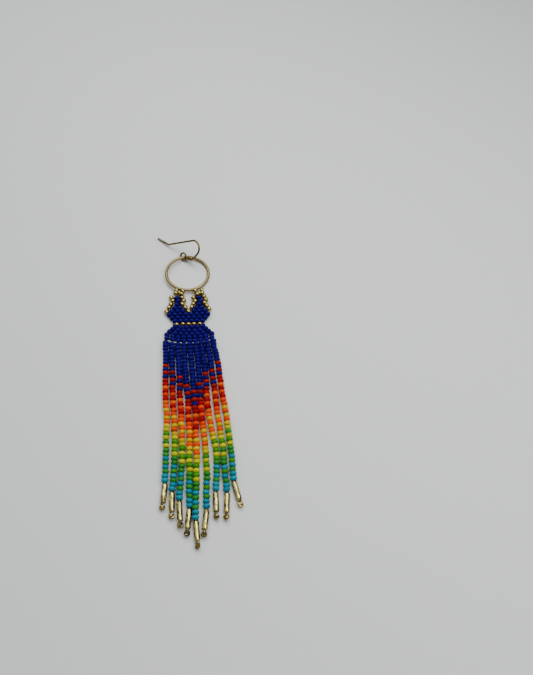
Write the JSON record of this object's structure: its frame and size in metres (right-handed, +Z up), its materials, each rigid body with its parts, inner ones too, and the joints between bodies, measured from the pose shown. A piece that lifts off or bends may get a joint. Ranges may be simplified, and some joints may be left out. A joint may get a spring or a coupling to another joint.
{
  "type": "beaded earring",
  "caption": "Fringed dress-shaped seed bead drop earring on a gold ring and ear wire, with bugle bead ends, lying flat.",
  "frame": {"origin": "middle of the lying earring's outline, on the surface that it lies on", "axes": "+X to the right as seen from above, +Y up the earring towards its ear hook, +Z up from the surface"},
  "size_m": [0.0277, 0.1286, 0.0089],
  "materials": {
    "gold_wire": "polished gold plate",
    "gold_ring": "satin gold plate",
    "gold_bead": "opaque galvanised gold glass",
    "blue_bead": "opaque royal blue glass, semi-gloss",
    "strand_bead": "opaque seed beads, blue to red, orange, yellow, green and turquoise down the strand",
    "bugle_gold": "silver-lined pale gold glass, mirror bright",
    "end_gold": "cut gold glass",
    "thread": "white beading thread"
  },
  "bodies": {
    "root": {"ear_hook": "gold_wire", "hook_coil": "gold_wire", "hook_ball": "gold_wire", "ring": "gold_ring", "bail_left": "gold_bead", "bail_right": "gold_bead", "trim_outer_left": "gold_bead", "trim_outer_right": "gold_bead", "neckline": "gold_bead", "bodice_panel": "blue_bead", "waist_row": "gold_bead", "skirt_panel": "blue_bead", "fringe_strand_1": "strand_bead", "fringe_strand_2": "strand_bead", "fringe_strand_3": "strand_bead", "fringe_strand_4": "strand_bead", "fringe_strand_5": "strand_bead", "fringe_strand_6": "strand_bead", "fringe_strand_7": "strand_bead", "fringe_strand_8": "strand_bead", "fringe_strand_9": "strand_bead", "bugle_1": "bugle_gold", "bugle_2": "bugle_gold", "bugle_3": "bugle_gold", "bugle_4": "bugle_gold", "bugle_5": "bugle_gold", "bugle_6": "bugle_gold", "bugle_7": "bugle_gold", "bugle_8": "bugle_gold", "bugle_9": "bugle_gold", "end_bead_1": "end_gold", "end_bead_2": "end_gold", "end_bead_3": "end_gold", "end_bead_4": "end_gold", "end_bead_5": "end_gold", "end_bead_6": "end_gold", "end_bead_7": "end_gold", "end_bead_8": "end_gold", "end_bead_9": "end_gold", "fringe_thread": "thread"}
  },
  "joints": []
}
